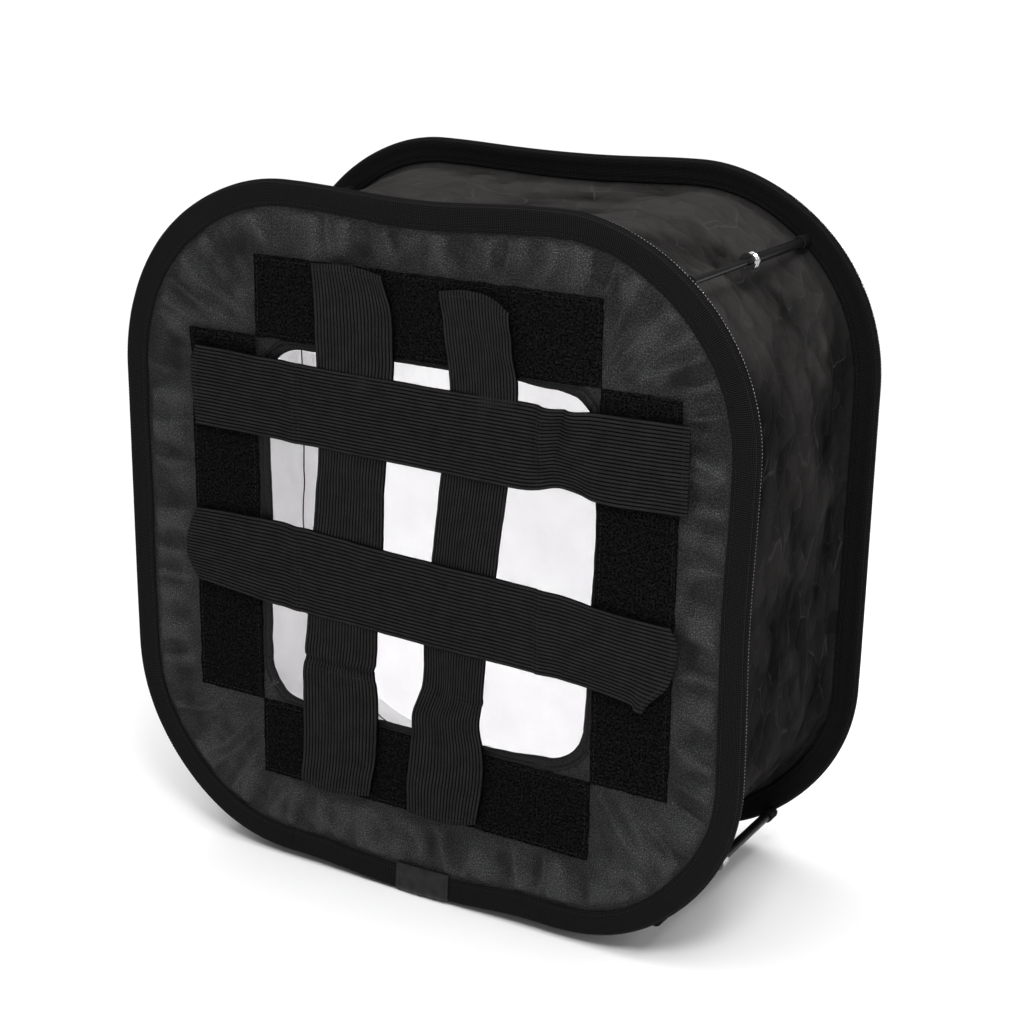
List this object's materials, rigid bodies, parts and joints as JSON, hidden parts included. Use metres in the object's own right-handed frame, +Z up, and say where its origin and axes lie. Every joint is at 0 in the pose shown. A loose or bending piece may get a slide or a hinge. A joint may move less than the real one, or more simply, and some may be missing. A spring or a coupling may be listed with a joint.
{
  "type": "collapsible panel lamp softbox",
  "caption": "Pop-up fabric softbox on two sprung hoops and telescopic struts, with a strapped rear opening for a square LED panel and a white front diffuser.",
  "frame": {"origin": "on the floor, under the middle of the box", "axes": "+Z up, -Y towards the lamp that the rear straps hold, +Y the way the light leaves through the diffuser, +X to the right seen from the lamp"},
  "size_m": [0.401, 0.1714, 0.4095],
  "materials": {
    "webbing": "ribbed twill webbing",
    "spring_steel": "blued spring steel",
    "satin_patch": "satin weave",
    "panel_cloth": "calendered nylon with a fine sparkle",
    "hem_tape": "folded binding tape",
    "diffuser_cloth": "plain white diffusion cloth",
    "wall_cloth": "thin crumpled nylon",
    "lining_cloth": "white reflective lining",
    "loop_tape": "brushed loop pile",
    "hook_tape": "moulded hook tape",
    "ribbed_elastic": "ribbed elastic",
    "rod_lacquer": "gloss black lacquer",
    "tube_lacquer": "gloss black lacquer",
    "chrome": "polished",
    "pocket_webbing": "sewn webbing sleeve",
    "bush_plastic": "moulded nylon"
  },
  "bodies": {
    "rear_frame": {"cross_strap_lower": "ribbed_elastic", "cross_strap_upper": "ribbed_elastic", "loop_tape_bottom": "loop_tape", "loop_tape_left": "loop_tape", "loop_tape_right": "loop_tape", "loop_tape_top": "loop_tape", "opening_hem": "hem_tape", "rear_binding": "webbing", "rear_hoop": "spring_steel", "rear_hoop_crimp": "spring_steel", "rear_joint_cover": "satin_patch", "rear_panel": "panel_cloth", "rod_end_bushes": "bush_plastic", "rod_pocket_lower_left": "pocket_webbing", "rod_pocket_lower_right": "pocket_webbing", "rod_pocket_upper_left": "pocket_webbing", "rod_pocket_upper_right": "pocket_webbing", "side_wall": "wall_cloth", "strut_rod_lower_left": "rod_lacquer", "strut_rod_lower_right": "rod_lacquer", "strut_rod_upper_left": "rod_lacquer", "strut_rod_upper_right": "rod_lacquer", "upright_strap_left": "ribbed_elastic", "upright_strap_right": "ribbed_elastic", "wall_lining": "lining_cloth"},
    "front_frame": {"front_binding": "webbing", "front_diffuser": "diffuser_cloth", "front_hoop": "spring_steel", "front_hoop_crimp": "spring_steel", "front_joint_cover": "satin_patch", "strut_tube_lower_left": "tube_lacquer", "strut_tube_lower_right": "tube_lacquer", "strut_tube_upper_left": "tube_lacquer", "strut_tube_upper_right": "tube_lacquer", "tube_pocket_lower_left": "pocket_webbing", "tube_pocket_lower_right": "pocket_webbing", "tube_pocket_upper_left": "pocket_webbing", "tube_pocket_upper_right": "pocket_webbing"},
    "collar_upper_left": {"strut_collar_upper_left": "chrome"},
    "collar_upper_right": {"strut_collar_upper_right": "chrome"},
    "collar_lower_left": {"strut_collar_lower_left": "chrome"},
    "collar_lower_right": {"strut_collar_lower_right": "chrome"},
    "cross_strap_lower_left_end": {"cross_strap_lower_left_tab": "ribbed_elastic", "cross_strap_lower_left_hook": "hook_tape"},
    "cross_strap_lower_right_end": {"cross_strap_lower_right_tab": "ribbed_elastic", "cross_strap_lower_right_hook": "hook_tape"},
    "cross_strap_upper_left_end": {"cross_strap_upper_left_tab": "ribbed_elastic", "cross_strap_upper_left_hook": "hook_tape"},
    "cross_strap_upper_right_end": {"cross_strap_upper_right_tab": "ribbed_elastic", "cross_strap_upper_right_hook": "hook_tape"},
    "upright_strap_left_bottom_end": {"upright_strap_left_bottom_tab": "ribbed_elastic", "upright_strap_left_bottom_hook": "hook_tape"},
    "upright_strap_left_top_end": {"upright_strap_left_top_tab": "ribbed_elastic", "upright_strap_left_top_hook": "hook_tape"},
    "upright_strap_right_bottom_end": {"upright_strap_right_bottom_tab": "ribbed_elastic", "upright_strap_right_bottom_hook": "hook_tape"},
    "upright_strap_right_top_end": {"upright_strap_right_top_tab": "ribbed_elastic", "upright_strap_right_top_hook": "hook_tape"}
  },
  "joints": [
    {"name": "depth_collapse", "type": "slide", "parent": "rear_frame", "child": "front_frame", "axis": [0, -1, 0], "range_m": [0, 0.065], "deforming": ["side_wall", "wall_lining"]},
    {"name": "collar_twist_upper_left", "type": "hinge", "parent": "front_frame", "child": "collar_upper_left", "pos_m": [-0.152, 0.0045, 0.373], "axis": [0, 1, 0], "range_deg": [0, 90]},
    {"name": "collar_twist_upper_right", "type": "hinge", "parent": "front_frame", "child": "collar_upper_right", "pos_m": [0.152, 0.0045, 0.373], "axis": [0, 1, 0], "range_deg": [0, 90]},
    {"name": "collar_twist_lower_left", "type": "hinge", "parent": "front_frame", "child": "collar_lower_left", "pos_m": [-0.152, 0.0045, 0.0265], "axis": [0, 1, 0], "range_deg": [0, 90]},
    {"name": "collar_twist_lower_right", "type": "hinge", "parent": "front_frame", "child": "collar_lower_right", "pos_m": [0.152, 0.0045, 0.0265], "axis": [0, 1, 0], "range_deg": [0, 90]},
    {"name": "cross_strap_lower_left_peel", "type": "hinge", "parent": "rear_frame", "child": "cross_strap_lower_left_end", "pos_m": [-0.1045, -0.08395, 0.1855], "axis": [0, 0, 1], "range_deg": [0, 120]},
    {"name": "cross_strap_lower_right_peel", "type": "hinge", "parent": "rear_frame", "child": "cross_strap_lower_right_end", "pos_m": [0.1095, -0.08395, 0.1765], "axis": [0, 0, -1], "range_deg": [0, 120]},
    {"name": "cross_strap_upper_left_peel", "type": "hinge", "parent": "rear_frame", "child": "cross_strap_upper_left_end", "pos_m": [-0.1045, -0.08395, 0.2795], "axis": [0, 0, 1], "range_deg": [0, 120]},
    {"name": "cross_strap_upper_right_peel", "type": "hinge", "parent": "rear_frame", "child": "cross_strap_upper_right_end", "pos_m": [0.1095, -0.08395, 0.2785], "axis": [0, 0, -1], "range_deg": [0, 120]},
    {"name": "upright_strap_left_bottom_peel", "type": "hinge", "parent": "rear_frame", "child": "upright_strap_left_bottom_end", "pos_m": [-0.0525, -0.08395, 0.1005], "axis": [-1, 0, 0], "range_deg": [0, 120]},
    {"name": "upright_strap_left_top_peel", "type": "hinge", "parent": "rear_frame", "child": "upright_strap_left_top_end", "pos_m": [-0.0445, -0.08395, 0.3145], "axis": [1, 0, 0], "range_deg": [0, 120]},
    {"name": "upright_strap_right_bottom_peel", "type": "hinge", "parent": "rear_frame", "child": "upright_strap_right_bottom_end", "pos_m": [0.0215, -0.08395, 0.1005], "axis": [-1, 0, 0], "range_deg": [0, 120]},
    {"name": "upright_strap_right_top_peel", "type": "hinge", "parent": "rear_frame", "child": "upright_strap_right_top_end", "pos_m": [0.0355, -0.08395, 0.3145], "axis": [1, 0, 0], "range_deg": [0, 120]}
  ]
}
